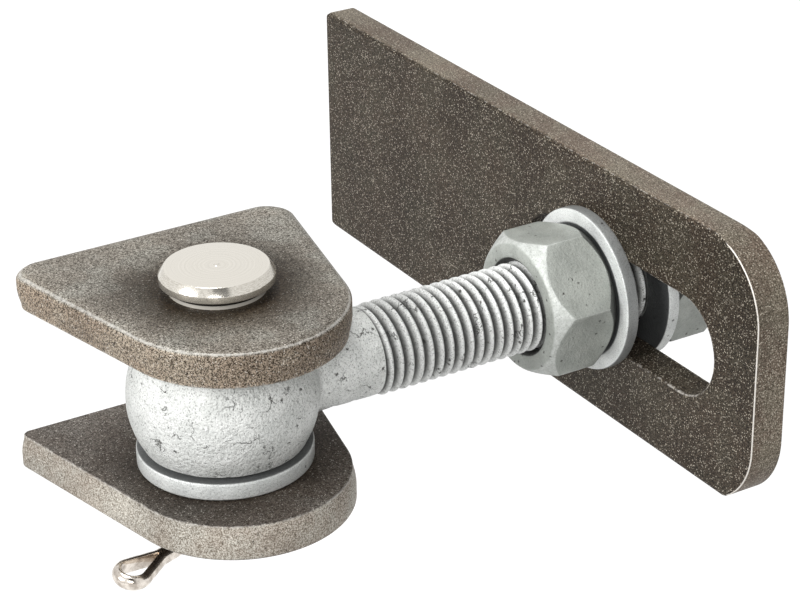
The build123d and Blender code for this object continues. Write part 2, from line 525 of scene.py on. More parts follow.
@dataclass(frozen=True)
class RawSteel(Finish):
    """Blasted mill steel, speckled, with coarser cut walls, bright sheared edges, painted highlights along
    some edges, and painted shade round the pin.

    Attributes:
        light: The colour of its lighter grain.
        dark: The colour of its darker grain.
        cool: What its bluer clouds are multiplied with.
        painted_shade_tint: What its painted shade round the pin is multiplied with.
        wall_light: The lighter grain of its cut walls.
        wall_dark: The darker grain of its cut walls.
        pit: The colour in its pits.
        spark: The colour of grains that catch the light.
        rub_and_sheen: The colour of worn edges and of painted highlights.
        grain: How fine its grain is.
        dark_share: How much of it is pits.
        bright_share: How much of it is bright grains.
        depth: The grain's depth, in millimetres.
        roughness: Between the grains.
        painted_shade_reach: How far the painted shade spreads round the pin, in millimetres.
        scratched: How strongly its scratches show.
        rub_and_sheen_share: How strongly its worn edges and painted highlights show.
    """

    light: tuple[float, float, float]
    dark: tuple[float, float, float]
    cool: tuple[float, float, float]
    wall_light: tuple[float, float, float]
    wall_dark: tuple[float, float, float]
    pit: tuple[float, float, float]
    spark: tuple[float, float, float]
    rub_and_sheen: tuple[float, float, float]
    grain: float
    dark_share: float
    bright_share: float
    depth: float
    roughness: float
    painted_shade_tint: tuple[float, float, float] = (0.15, 0.115, 0.08)
    painted_shade_reach: float = 0.0
    scratched: float = 0.0
    rub_and_sheen_share: float = 0.4

    def wire(self, graph: Graph, shader: bpy.types.Node) -> None:
        """Wires the finish into its shader; see Finish."""
        place = graph.place()
        grain = BlastedGrain().use(
            graph, place, grain=self.grain, dark_share=self.dark_share, bright_share=self.bright_share
        )
        wall = graph.ramp(self.wall(graph), 0.25, 0.7)
        edge = RubAndSheenEdge().use(graph, place, wear=self.wear(graph), breakup=0.3)
        face = graph.mix(grain["Speckle"], self.dark, self.light)
        cut = graph.mix(grain["Speckle"], self.wall_dark, self.wall_light)
        colour = graph.mix(wall, face, cut)
        colour = graph.tinted(colour, graph.mix(graph.ramp(grain["Tint"], 0.4, 0.62), WHITE, self.cool))
        cloud = graph.ramp(grain["Cloud"], 0.32, 0.68)
        colour = graph.tinted(colour, graph.mix(cloud, (0.7, 0.7, 0.7), (1.2, 1.2, 1.2)))
        bright = grain["Bright"]
        # Painted shade round the pin: darker and browner towards it, with fewer bright grains, and none on
        # the walls.
        if self.painted_shade_reach:
            off = graph.plus(graph.off_pin(place), graph.times(grain["Cloud"], 6.0))
            near = graph.ramp(off, 14.0, self.painted_shade_reach, 1.0, 0.0)
            near = graph.times(near, graph.minus(1.0, wall))
            colour = graph.tinted(colour, graph.mix(near, WHITE, self.painted_shade_tint))
            bright = graph.times(bright, graph.minus(1.0, graph.times(near, 0.75)))
        colour = graph.mix(grain["Dark"], colour, self.pit)
        if self.scratched:
            streaks = graph.noise(graph.stretched(place, (0.035, 1.0, 1.3), (0, -62, 0)), 1.0, 2.0, 0.5)
            marks = graph.times(graph.ramp(streaks, 0.72, 0.76), self.scratched)
            colour = graph.mix(graph.times(marks, grain["Speckle"]), colour, self.spark)
        # Worn edges and painted highlights: the bright line along the rolled edges and along the plate's
        # cropped end.
        colour = graph.mix(graph.times(edge["Mask"], self.rub_and_sheen_share), colour, self.rub_and_sheen)
        colour = graph.mix(bright, colour, self.spark)
        graph.feed(shader.inputs["Base Color"], colour)
        shader.inputs["Metallic"].default_value = 0.3
        shader.inputs["Specular IOR Level"].default_value = 0.1
        rough = graph.ramp(grain["Bright"], 0.0, 1.0, self.roughness, self.roughness - 0.2)
        rough = graph.minus(rough, graph.times(edge["Mask"], 0.12))
        graph.feed(shader.inputs["Roughness"], rough)
        self.bump(graph, shader, grain["Height"], self.depth)


@dataclass(frozen=True)
class Zinc(Finish):
    """Matte hot-dip zinc.

    Attributes:
        light: The colour of its lighter clouds.
        dark: The colour of its darker clouds.
        pit: The colour in its pits and cracks.
        shade: The colour of its painted shade.
        rub_and_sheen: The colour of worn edges and of painted highlights.
        grain: How fine its grit is.
        grit: How dark its grit is.
        pit_share: How many pits it has.
        crack_share: How many cracks it has.
        run: How lumpy it is.
        depth: The depth of its lumps, in millimetres.
        roughness: Its roughness.
    """

    light: tuple[float, float, float]
    dark: tuple[float, float, float]
    pit: tuple[float, float, float]
    shade: tuple[float, float, float]
    rub_and_sheen: tuple[float, float, float]
    grain: float
    grit: float
    pit_share: float
    crack_share: float
    run: float
    depth: float
    roughness: float

    def wire(self, graph: Graph, shader: bpy.types.Node) -> None:
        """Wires the finish into its shader; see Finish."""
        place = graph.place()
        skin = ZincSkin().use(
            graph, place, grain=self.grain, pit_share=self.pit_share, crack_share=self.crack_share,
            run=self.run,
        )
        edge = RubAndSheenEdge().use(graph, place, wear=self.wear(graph), breakup=0.15)
        colour = graph.mix(graph.ramp(skin["Cloud"], 0.32, 0.68), self.dark, self.light)
        # Worn edges and painted highlights, such as the bright nut chamfers and thread crests.
        colour = graph.mix(graph.times(edge["Mask"], 0.8), colour, self.rub_and_sheen)
        colour = graph.mix(graph.ramp(skin["Grit"], 0.3, 0.5, self.grit, 0.0), colour, self.pit)
        colour = graph.mix(graph.maths("MAXIMUM", skin["Pits"], skin["Cracks"]), colour, self.pit)
        # Painted shade wherever a piece marks it: thread grooves, countersinks, joints, seats, and shaded
        # faces and rims.
        colour = graph.mix(graph.ramp(self.painted_shade(graph), 0.0, 1.0, 0.0, 0.97), colour, self.shade)
        graph.feed(shader.inputs["Base Color"], colour)
        shader.inputs["Metallic"].default_value = 0.2
        shader.inputs["Specular IOR Level"].default_value = 0.35
        rough = graph.ramp(skin["Cloud"], 0.2, 0.8, self.roughness + 0.08, self.roughness - 0.08)
        graph.feed(shader.inputs["Roughness"], rough)
        self.bump(graph, shader, skin["Height"], self.depth)


@dataclass(frozen=True)
class TurnedSteel(Finish):
    """Bright stainless off the lathe.

    Attributes:
        light: Its colour.
        dark: The colour in its tool marks.
        streak: The colour of the streaks on its turned walls, a painted dark reflection with tool marks.
        shade: The colour of the painted shade in its groove and on its collar under the head.
        rings: Tool marks in a millimetre.
        depth: Their depth, in millimetres.
        roughness: Its roughness.
    """

    light: tuple[float, float, float]
    dark: tuple[float, float, float]
    rings: float
    depth: float
    roughness: float
    streak: tuple[float, float, float] = (0.36, 0.335, 0.29)
    shade: tuple[float, float, float] = (0.02, 0.018, 0.015)

    def wire(self, graph: Graph, shader: bpy.types.Node) -> None:
        """Wires the finish into its shader; see Finish."""
        place = graph.place()
        marks = TurningMarks().use(graph, place, rings=self.rings, waver=0.15)
        smudge = graph.noise(place, 0.16, 4.0, 0.6)
        colour = graph.mix(graph.ramp(marks["Shade"], 0.35, 0.65), self.dark, self.light)
        colour = graph.mix(graph.ramp(smudge, 0.45, 0.75, 0.0, 0.3), colour, self.dark)
        # Darker streaks on the marked walls: a painted dark reflection, with tool marks.
        streaks = graph.noise(graph.stretched(place, (1.5, 1.5, 9.0)), 1.0, 3.0, 0.7)
        streaks = graph.times(self.wall(graph), graph.ramp(streaks, 0.35, 0.65, 0.0, 0.55))
        colour = graph.mix(streaks, colour, self.streak)
        # Painted shade in the groove and under the head, which also takes the metal's shine away there.
        colour = graph.mix(self.painted_shade(graph), colour, self.shade)
        graph.feed(shader.inputs["Base Color"], colour)
        metallic = graph.ramp(self.painted_shade(graph), 0.0, 0.6, 0.8, 0.0)
        metallic = graph.minus(metallic, graph.times(self.wear(graph), 0.45), clamp=True)
        graph.feed(shader.inputs["Metallic"], metallic)
        rough = graph.ramp(smudge, 0.3, 0.7, self.roughness - 0.05, self.roughness + 0.08)
        graph.feed(shader.inputs["Roughness"], rough)
        self.bump(graph, shader, marks["Shade"], self.depth)


@dataclass(frozen=True)
class DrawnWire(Finish):
    """Bright drawn stainless wire.

    Attributes:
        light: Its colour.
        dark: The colour of its smudges.
        roughness: Its roughness.
    """

    light: tuple[float, float, float]
    dark: tuple[float, float, float]
    roughness: float

    def wire(self, graph: Graph, shader: bpy.types.Node) -> None:
        """Wires the finish into its shader; see Finish."""
        place = graph.place()
        smudge = graph.noise(place, 0.5, 4.0, 0.6)
        fine = graph.noise(place, 4.0, 2.0, 0.6)
        colour = graph.mix(graph.ramp(smudge, 0.35, 0.7), self.light, self.dark)
        graph.feed(shader.inputs["Base Color"], colour)
        shader.inputs["Metallic"].default_value = 1.0
        rough = graph.ramp(smudge, 0.3, 0.7, self.roughness, self.roughness + 0.12)
        graph.feed(shader.inputs["Roughness"], rough)
        self.bump(graph, shader, fine, 0.01)


FINISHES: dict[Slot, Finish] = {
    Slot.EARS: RawSteel(
        "raw ear steel", light=(0.45, 0.41, 0.35), dark=(0.085, 0.07, 0.053), cool=(0.92, 0.97, 1.0),
        wall_light=(0.52, 0.42, 0.32), wall_dark=(0.05, 0.035, 0.023), pit=(0.022, 0.016, 0.011),
        spark=(0.80, 0.75, 0.67), rub_and_sheen=(0.86, 0.84, 0.79), grain=1.05, dark_share=0.48, bright_share=0.18,
        depth=0.14, roughness=0.5, painted_shade_reach=30.0, rub_and_sheen_share=0.42,
    ),
    Slot.PLATE: RawSteel(
        "raw plate steel", light=(0.106, 0.08, 0.058), dark=(0.008, 0.0055, 0.0035), cool=(0.93, 1.02, 1.02),
        wall_light=(0.31, 0.245, 0.19), wall_dark=(0.09, 0.067, 0.048), pit=(0.010, 0.008, 0.006),
        spark=(0.60, 0.54, 0.44), rub_and_sheen=(0.86, 0.82, 0.76), grain=1.05, dark_share=0.4, bright_share=0.3,
        depth=0.14, roughness=0.5, scratched=0.7, rub_and_sheen_share=0.9,
    ),
    Slot.PIN: TurnedSteel(
        "turned pin steel", (0.79, 0.755, 0.685), (0.70, 0.665, 0.595), 2.2, 0.0025, 0.17,
    ),
    Slot.WIRE: DrawnWire("drawn wire steel", (0.80, 0.74, 0.67), (0.42, 0.37, 0.32), 0.12),
    Slot.FORGING: Zinc(
        "zinc on the forging", light=(0.88, 0.89, 0.865), dark=(0.72, 0.735, 0.71), pit=(0.13, 0.13, 0.12),
        shade=(0.045, 0.045, 0.042), rub_and_sheen=(0.94, 0.95, 0.935), grain=1.0, grit=0.7, pit_share=0.12,
        crack_share=0.49, run=0.6, depth=0.5, roughness=0.5,
    ),
    Slot.NUT: Zinc(
        "zinc on the nuts", light=(0.50, 0.525, 0.485), dark=(0.37, 0.39, 0.36), pit=(0.10, 0.10, 0.09),
        shade=(0.022, 0.022, 0.02), rub_and_sheen=(0.84, 0.86, 0.835), grain=1.2, grit=0.4, pit_share=0.16,
        crack_share=0.3, run=0.5, depth=0.2, roughness=0.42,
    ),
    Slot.WASHER: Zinc(
        "zinc on the washers", light=(0.86, 0.88, 0.86), dark=(0.70, 0.72, 0.705), pit=(0.14, 0.14, 0.135),
        shade=(0.035, 0.037, 0.038), rub_and_sheen=(0.86, 0.87, 0.85), grain=1.2, grit=0.5, pit_share=0.1,
        crack_share=0.2, run=0.4, depth=0.2, roughness=0.42,
    ),
}

# A copy of the ear steel for the lower ear: its walls painted paler, as painted light from below, its face
# darker, and its painted shade round the pin reaching further.
LOWER_EAR = RawSteel(
    "raw ear steel, walls painted lighter", light=(0.29, 0.25, 0.215), dark=(0.06, 0.046, 0.036),
    cool=(0.92, 0.97, 1.0), wall_light=(0.70, 0.635, 0.55), wall_dark=(0.24, 0.195, 0.15),
    pit=(0.03, 0.023, 0.016), spark=(0.80, 0.75, 0.67), rub_and_sheen=(0.86, 0.84, 0.79), grain=1.1,
    dark_share=0.42, bright_share=0.18, depth=0.14, roughness=0.5, painted_shade_reach=38.0, rub_and_sheen_share=0.4,
)


# Shapes


class Solid:
    """A mesh while it is shaped, in millimetres."""

    def __init__(self) -> None:
        """Starts empty, with room for each point's worn edges and painted highlights, its share of a cut wall
        and its painted shade.
        """
        self.bm = bmesh.new()
        self.wear = self.bm.verts.layers.float.new("wear")
        self.wall = self.bm.verts.layers.float.new("wall")
        self.painted_shade = self.bm.verts.layers.float.new("painted_shade")

    def vert(self, at: Sequence[float]) -> bmesh.types.BMVert:
        """Adds a point and gives it back."""
        return self.bm.verts.new(at)

    def join(self, geom: Sequence[bmesh.types.BMVert] | Sequence[bmesh.types.BMEdge]) -> None:
        """Joins two points with an edge, or closes a loop of edges with a face."""
        bmesh.ops.contextual_create(self.bm, geom=geom)

    def chain(self, points: Sequence[Sequence[float]]) -> list[bmesh.types.BMVert]:
        """Adds an open line of points.

        Args:
            points: The points, in order.

        Returns:
            Its vertices.
        """
        made = [self.vert(p) for p in points]
        for a, b in zip(made, made[1:]):
            self.join([a, b])
        return made

    def arc(
        self, start: bmesh.types.BMVert, centre: Sequence[float], axis: Vector, degrees: float, steps: int
    ) -> list[bmesh.types.BMVert]:
        """Spins a point into an arc.

        Args:
            start: The point that the arc starts from.
            centre: The arc's centre.
            axis: The axis it turns about.
            degrees: How far it turns.
            steps: Its number of edges.

        Returns:
            The arc's vertices, with start first.
        """
        path = [start]
        step = math.radians(degrees) / steps
        for _ in range(steps):
            made = bmesh.ops.spin(
                self.bm, geom=[path[-1]], cent=centre, axis=axis, angle=step, steps=1, use_duplicate=False
            )
            last = next(g for g in made["geom_last"] if isinstance(g, bmesh.types.BMVert))
            path.append(last)
        return path

    def round_corners(self, corners: Sequence[bmesh.types.BMVert], radius: float, segments: int = 3) -> None:
        """Rounds corners of an open line before it is spun.

        Args:
            corners: The line's points to round.
            radius: How much of each side is taken.
            segments: The round's number of edges.
        """
        bmesh.ops.bevel(
            self.bm, geom=list(corners), offset=radius, offset_type="OFFSET", segments=segments,
            profile=0.5, affect="VERTICES", material=-1,
        )

    def revolve(self, axis: Vector, steps: int, centre: Sequence[float] = (0, 0, 0)) -> None:
        """Spins all that is there through a full turn and closes it.

        Args:
            axis: The axis.
            steps: The number of steps in the turn.
            centre: A point on the axis.
        """
        bmesh.ops.spin(
            self.bm, geom=self.bm.verts[:] + self.bm.edges[:], cent=centre, axis=axis,
            angle=math.tau, steps=steps, use_merge=True, use_duplicate=False,
        )
        self.weld()

    def weld(self, distance: float = 1e-4) -> None:
        """Merges points that lie on each other and turns all faces outwards.

        Args:
            distance: How near they lie.
        """
        bmesh.ops.remove_doubles(self.bm, verts=self.bm.verts[:], dist=distance)
        bmesh.ops.recalc_face_normals(self.bm, faces=self.bm.faces[:])

    def closed(self, loop: Sequence[bmesh.types.BMVert]) -> list[bmesh.types.BMEdge]:
        """Gives the edges of a closed line.

        Args:
            loop: Its points, in order.

        Returns:
            Its edges.
        """
        return [self.bm.edges.get((a, b)) for a, b in zip(loop, [*loop[1:], loop[0]])]

    def pull(
        self, edges: Sequence[bmesh.types.BMEdge]
    ) -> tuple[list[bmesh.types.BMEdge], list[bmesh.types.BMVert]]:
        """Extrudes edges in place.

        Args:
            edges: The edges.

        Returns:
            The new edges and the new points.
        """
        made = bmesh.ops.extrude_edge_only(self.bm, edges=edges)["geom"]
        verts = [g for g in made if isinstance(g, bmesh.types.BMVert)]
        return [g for g in made if isinstance(g, bmesh.types.BMEdge)], verts

    def cut(
        self, place: Sequence[float], normal: Sequence[float], merge: float = 1e-4
    ) -> list[bmesh.types.BMEdge]:
        """Cuts away all that lies past a plane.

        Args:
            place: A point on the plane.
            normal: The way to what is cut away.
            merge: How near the plane a point counts as on it.

        Returns:
            The edges of the cut.
        """
        made = bmesh.ops.bisect_plane(
            self.bm, geom=self.bm.verts[:] + self.bm.edges[:] + self.bm.faces[:], dist=merge,
            plane_co=place, plane_no=normal, clear_outer=True,
        )
        return [g for g in made["geom_cut"] if isinstance(g, bmesh.types.BMEdge)]

    def extrude(self, loop: Sequence[bmesh.types.BMVert]) -> list[bmesh.types.BMVert]:
        """Extrudes a closed line in place.

        Args:
            loop: Its points, in order.

        Returns:
            The new points, in the same order.
        """
        _, made = self.pull(self.closed(loop))
        spots = {v.co.copy().freeze(): v for v in made}
        return [spots[v.co.copy().freeze()] for v in loop]

    def bridge(self, first: Sequence[bmesh.types.BMEdge], second: Sequence[bmesh.types.BMEdge]) -> None:
        """Joins two loops of edges with a band of faces.

        Args:
            first: One loop.
            second: The other loop.
        """
        bmesh.ops.bridge_loops(self.bm, edges=list(first) + list(second))

    def fill(self, *loops: Sequence[bmesh.types.BMEdge]) -> None:
        """Fills a flat outline and leaves its holes open.

        Args:
            *loops: The outline and its holes.
        """
        edges = [e for loop in loops for e in loop]
        bmesh.ops.triangle_fill(self.bm, edges=edges, use_beauty=True)

    def soften(self, width: float, segments: int = 2, degrees: float = 30.0) -> None:
        """Bevels every edge sharper than an angle.

        Args:
            width: The bevel's width.
            segments: Its number of bands.
            degrees: The least angle between the faces.
        """
        limit = math.radians(degrees)
        sharp = [e for e in self.bm.edges if len(e.link_faces) == 2 and e.calc_face_angle() > limit]
        bmesh.ops.bevel(
            self.bm, geom=sharp, offset=width, offset_type="OFFSET", segments=segments,
            profile=0.5, affect="EDGES", material=-1, clamp_overlap=True,
        )

    def frame_faces(self, least_area: float, width: float) -> None:
        """Insets the large flat faces, so that worn marks stay near their edges.

        Args:
            least_area: The smallest face that gets a frame.
            width: The frame's width.
        """
        large = [f for f in self.bm.faces if f.calc_area() > least_area]
        bmesh.ops.inset_individual(self.bm, faces=large, thickness=width, use_even_offset=True)

    def mark_wear(self, degrees: float = 12.0) -> None:
        """Marks the points on edges as worn, more so where they are sharper.

        Args:
            degrees: The edge angle from which the worn marking starts.
        """
        self.bm.normal_update()
        for vert in self.bm.verts:
            angles = [e.calc_face_angle(0.0) for e in vert.link_edges if len(e.link_faces) == 2]
            sharpest = math.degrees(max(angles, default=0.0))
            vert[self.wear] = min(1.0, max(0.0, (sharpest - degrees) / 15.0))

    def mark_walls(self, axis: Vector) -> None:
        """Marks how far each point looks away from an axis, as the walls cut across a plate do.

        Args:
            axis: The way through the plate.
        """
        self.bm.normal_update()
        for vert in self.bm.verts:
            vert[self.wall] = 1.0 - abs(vert.normal.dot(axis))

    def rumple(self, depth: float, size: float) -> None:
        """Moves the points a little in and out, as on a forging.

        Args:
            depth: The most that a point moves.
            size: The size of the lumps.
        """
        self.bm.normal_update()
        for vert in self.bm.verts:
            vert.co += vert.normal * depth * noise.noise(vert.co / size)

    def turn(self, matrix: Matrix) -> None:
        """Moves all points by a matrix."""
        bmesh.ops.transform(self.bm, matrix=matrix, verts=self.bm.verts[:])

    def piece(
        self, name: str, body: str, node: str, slot: Slot, sharp: float = 40.0, finish: Finish | None = None
    ) -> bpy.types.Object:
        """Makes the finished object, in metres, and hides the solid that it stands for.

        Args:
            name: The piece's name.
            body: The body that it rides on.
            node: The solid that it replaces.
            slot: The record's material slot.
            sharp: The edge angle, in degrees, from which the shading breaks.
            finish: Its finish, if it isn't the slot's own.

        Returns:
            The object.
        """
        self.turn(Matrix.Scale(METRES, 4))
        mesh = bpy.data.meshes.new(name)
        self.bm.to_mesh(mesh)
        self.bm.free()
        mesh.shade_smooth()
        mesh.set_sharp_from_angle(angle=math.radians(sharp))
        made = bpy.data.objects.new(name, mesh)
        bpy.context.scene.collection.objects.link(made)
        mesh.materials.append((finish or FINISHES[slot]).material())
        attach(made, body)
        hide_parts(node)
        LOG.info("%s: %d faces on %s", name, len(mesh.polygons), body)
        return made


@dataclass(frozen=True)
class Corner:
    """A round corner of a flat outline.

    Attributes:
        x: Its centre.
        y: Its centre.
        radius: Its radius.
        start: The direction of its first point from the centre, in degrees.
        sweep: How far it turns anticlockwise, in degrees.
    """

    x: float
    y: float
    radius: float
    start: float
    sweep: float


@dataclass(frozen=True)
class Ring:
    """One closed line round an outline.

    Attributes:
        inset: How far it lies inside the outline.
        height: Its height.
        wear: How worn it is, with any painted highlight on it.
        even: Whether it is the same all round, whatever the outline's share.
    """

    inset: float
    height: float
    wear: float = 0.0
    even: bool = False


@dataclass
class Outline:
    """A flat closed outline of round corners joined by straight sides.

    Attributes:
        corners: The corners, anticlockwise.
        step: The corners' angle for each edge, in degrees.
        hole: Whether it bounds a hole, so that an inset widens it.
        share: How much of a ring's inset, and of its depth below the nearer face, applies at a point.
        edge_depth: How deep a ring may lie for its depth to follow the share.
    """

    corners: Sequence[Corner]
    step: float = 3.0
    hole: bool = False
    share: Callable[[Vector], float] | None = None
    edge_depth: float = 2.0

    def trace(self, solid: Solid) -> list[tuple[bmesh.types.BMVert, Vector, float]]:
        """Draws the outline once.

        Args:
            solid: What it is drawn in.

        Returns:
            Its points in order, each with the way out of the outline and its share of an inset.
        """
        path = []
        for corner in self.corners:
            centre = Vector((corner.x, corner.y, 0))
            angle = math.radians(corner.start)
            start = solid.vert(centre + Vector((math.cos(angle), math.sin(angle), 0)) * corner.radius)
            steps = max(2, round(corner.sweep / self.step))
            arc = solid.arc(start, centre, Z_AXIS, corner.sweep, steps)
            if corner.sweep == 360:
                solid.bm.verts.remove(arc.pop())
            if path:
                solid.join([path[-1][0], arc[0]])
            for vert in arc:
                way = (vert.co - centre).normalized() * (-1 if self.hole else 1)
                path.append((vert, way, self.share(vert.co) if self.share else 1.0))
        solid.join([path[-1][0], path[0][0]])
        return path

    def wall(
        self, solid: Solid, rings: Sequence[Ring]
    ) -> tuple[list[bmesh.types.BMEdge], list[bmesh.types.BMEdge]]:
        """Draws the outline and extrudes it through all rings.

        Args:
            solid: What it is drawn in.
            rings: The rings, from the near face to the far one.

        Returns:
            The edges of the first and of the last ring.
        """
        faces = (rings[0].height, rings[-1].height)
        path = self.trace(solid)
        places = [vert.co.copy() for vert, _, _ in path]
        loop = [vert for vert, _, _ in path]
        ends = []
        for ring in rings:
            if ends:
                loop = solid.extrude(loop)
            for vert, place, (_, way, share) in zip(loop, places, path):
                face = min(faces, key=lambda h: abs(h - ring.height))
                depth = ring.height - face
                amount = 1.0 if ring.even else share
                vert.co = place - way * ring.inset * amount
                vert.co.z = face + depth * (amount if abs(depth) < self.edge_depth else 1.0)
                vert[solid.wear] = ring.wear
            ends.append(solid.closed(loop))
        return ends[0], ends[-1]


def rolled(
    width: float, drop: float, height: float, up: bool, steps: int = 9, wear: float = 0.8
) -> list[Ring]:
    """Gives the rings of a rolled edge and of the face beside it.

    Args:
        width: How far the roll reaches into the face.
        drop: How far it falls down the wall.
        height: The face's height.
        up: Whether the face looks up.
        steps: The roll's number of bands.
        wear: How strong the painted highlight along the roll is.

    Returns:
        The rings, from the wall to the face where up, else from the face to the wall.
    """
    sign = 1 if up else -1
    # Painted highlight: a thin bright band on the roll, strongest at this angle round it and this wide.
    sheen_at, sheen_over = 38, 14  # degrees round the roll
    made = []
    for i in range(steps + 1):
        angle = math.pi / 2 * i / steps
        level = height - sign * drop * (1 - math.sin(angle))
        worn = wear * math.exp(-(((math.degrees(angle) - sheen_at) / sheen_over) ** 2))
        made.append(Ring(width * (1 - math.cos(angle)), level, worn))
    made.append(Ring(width + 0.3, height))
    return made if up else made[::-1]


def lipped(lip: float, thickness: float) -> list[Ring]:
    """Gives the rings of a hole through a plate, with a worn lip at both faces.

    Args:
        lip: The lip's width and depth.
        thickness: The plate's thickness.

    Returns:
        The rings, from the near face to the far one.
    """
    rings = [Ring(lip + 0.5, 0), Ring(lip, 0, 0.5), Ring(0, lip, 0.5), Ring(0, 1.2)]
    return rings + [Ring(r.inset, thickness - r.height, r.wear) for r in reversed(rings)]


def node_box(node: str) -> tuple[Vector, Vector]:
    """Gives a solid's lowest and highest corners, in millimetres."""
    low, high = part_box(node)
    return low / METRES, high / METRES


# Pieces


@dataclass
class Ear:
    """A weld-on ear: a nose round the pin, tapered sides, and the outer face's edge rolled over.

    Attributes:
        side: Whether it is the upper or the lower ear.
        corner_radius: The weld corners' radius.
        droop: How much more the roll falls at the weld corners.
        nose_radius: The nose's radius.
        nose_x: The nose's centre.
        half_width: Half the width at the weld edge, to where the sides would meet it.
        hole_radius: The pin hole's radius.
        roll_width: How far the rolled edge reaches into the face.
        roll_drop: How far it falls down the wall.
        lean: How much smaller the inner face is all round.
        burr: The inner edge's radius.
        lip: The width of the worn lip round the hole.
        droop_reach: How far from a weld corner the droop reaches.
    """

    side: Side
    corner_radius: float
    droop: float
    nose_radius: float = 24.2
    nose_x: float = 5.7
    half_width: float = 33.3
    hole_radius: float = 8.08
    roll_width: float = 2.2
    roll_drop: float = 1.1
    lean: float = 0.7
    burr: float = 0.16
    lip: float = 0.3
    droop_reach: float = 16.0

    def outline(self, weld_x: float) -> Outline:
        """Draws the ear's outline, with straight sides that touch the nose.

        Args:
            weld_x: Where the weld edge is.

        Returns:
            The outline.
        """
        run = self.nose_x - weld_x
        reach = math.hypot(run, self.half_width)
        side = math.asin(self.nose_radius / reach) - math.atan2(self.half_width, run) + math.pi / 2
        normal = Vector((math.cos(side), math.sin(side)))
        r = self.corner_radius
        x, y = weld_x + r, self.half_width - r * (1 + normal.x) / normal.y
        top = math.degrees(side)

        def share(at: Vector) -> float:
            """Gives the roll's share at a point, which grows towards the weld corners."""
            off = math.hypot(at.x - weld_x, abs(at.y) - self.half_width)
            return 1 + self.droop * max(0.0, 1 - off / self.droop_reach)

        corners = [
            Corner(self.nose_x, 0.0, self.nose_radius, -top, 2 * top),
            Corner(x, y, r, top, 180 - top), Corner(x, -y, r, 180, 180 - top),
        ]
        return Outline(corners, share=share)

    def build(self) -> None:
        """Builds the ear and dresses it."""
        node = f"{self.side.value}_ear"
        low, high = node_box(node)
        solid = Solid()
        lean, burr, thickness = self.lean, self.burr, high.z - low.z
        leaning = [(lean + burr + 0.5, 0.0, 0.0), (lean + burr, 0.0, 0.5), (lean, burr, 0.6)]
        leaning += [(lean * 0.9, 1.0, 0.1), (lean * 0.3, 2.6, 0.0), (0.0, 4.0, 0.0)]
        rings = [Ring(*values, even=True) for values in leaning]
        rings += rolled(self.roll_width, self.roll_drop, thickness, up=True)
        near, far = self.outline(low.x).wall(solid, rings)
        hole = Outline([Corner(0, 0, self.hole_radius, 0, 360)], step=5.0, hole=True)
        hole_near, hole_far = hole.wall(solid, lipped(self.lip, thickness))
        solid.fill(near, hole_near)
        solid.fill(far, hole_far)
        if self.side is Side.LOWER:
            solid.turn(Matrix.Scale(-1, 4, Z_AXIS))
            solid.turn(Matrix.Translation((0, 0, high.z)))
        else:
            solid.turn(Matrix.Translation((0, 0, low.z)))
        solid.weld()
        solid.mark_walls(Z_AXIS)
        # The lower ear takes the copy whose walls carry painted light.
        finish = LOWER_EAR if self.side is Side.LOWER else None
        solid.piece(f"{self.side.value}_ear_plate", "bracket", node, Slot.EARS, finish=finish)


@dataclass
class FlatWasher:
    """A punched and galvanised flat washer.

    Attributes:
        node: The solid that it stands for.
        body: The body that it rides on.
        axis: The axis that it is round.
        bore: The bore's radius.
        edge: The rounding of its edges.
        face_shade: How dark its lower and its upper face are, along the axis.
        rim_shade: How dark its rim is.
        seat: The radius out to which the nut's painted shadow reaches on its lower face.
        seat_fade: Over what width that ends.
    """

    node: str
    body: str
    axis: Vector
    bore: float
    edge: float = 0.45
    face_shade: tuple[float, float] = (0.0, 0.0)
    rim_shade: float = 0.0
    seat: float = 0.0
    seat_fade: float = 0.5

    def build(self) -> None:
        """Builds the washer and dresses it."""
        low, high = node_box(self.node)
        radius = (high.x - low.x) / 2
        near, far = low.dot(self.axis), high.dot(self.axis)
        solid = Solid()
        profile = [(radius, near), (radius, far), (self.bore, far), (self.bore, near)]
        if self.seat:
            profile += [(self.seat, near), (self.seat + self.seat_fade, near)]
        corners = solid.chain([X_AXIS * r + self.axis * h for r, h in profile])
        solid.join([corners[-1], corners[0]])
        solid.round_corners(corners[:4], self.edge)
        solid.revolve(self.axis, 96)
        solid.bm.normal_update()
        # Painted shade on its faces and rim, and the nut's painted shadow on its seat.
        for vert in solid.bm.verts:
            facing = vert.normal.dot(self.axis)
            shade = self.rim_shade
            if abs(facing) > 0.75:
                shade = self.face_shade[1 if facing > 0 else 0]
            off_middle = (vert.co - self.axis * near).length
            seated = vert.co.dot(self.axis) < near + 0.1 and off_middle < self.seat + 0.1
            vert[solid.painted_shade] = 1.0 if seated else shade
        solid.piece(self.node + "_ring", self.body, self.node, Slot.WASHER)


